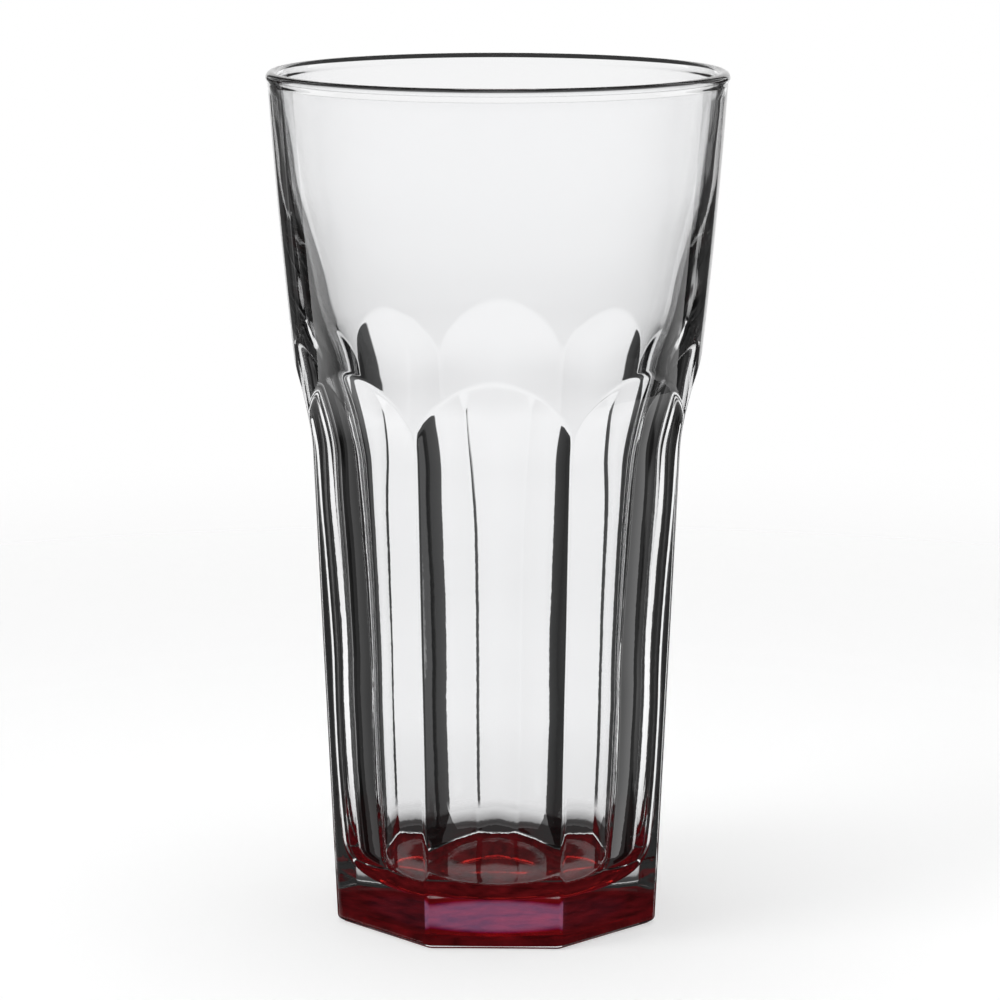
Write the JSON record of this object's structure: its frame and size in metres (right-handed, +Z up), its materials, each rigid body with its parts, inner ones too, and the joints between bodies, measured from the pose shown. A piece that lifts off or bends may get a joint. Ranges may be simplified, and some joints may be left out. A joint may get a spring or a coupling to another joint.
{
  "type": "beer glass",
  "caption": "Tall tapered drinking glass with flat pressed panels below a round upper wall, a thick foot and a red coat under the base.",
  "frame": {"origin": "centre of the foot, on the plane that the glass stands on", "axes": "+Z up along the glass's axis; one panel faces -Y"},
  "size_m": [0.088, 0.088, 0.164],
  "materials": {
    "clear_glass": "clear pressed glass, fire polished",
    "red_lacquer": "translucent red colour coat, glossy on the glass side"
  },
  "bodies": {
    "root": {"glass_body": "clear_glass", "red_base_coat": "red_lacquer"}
  },
  "joints": []
}
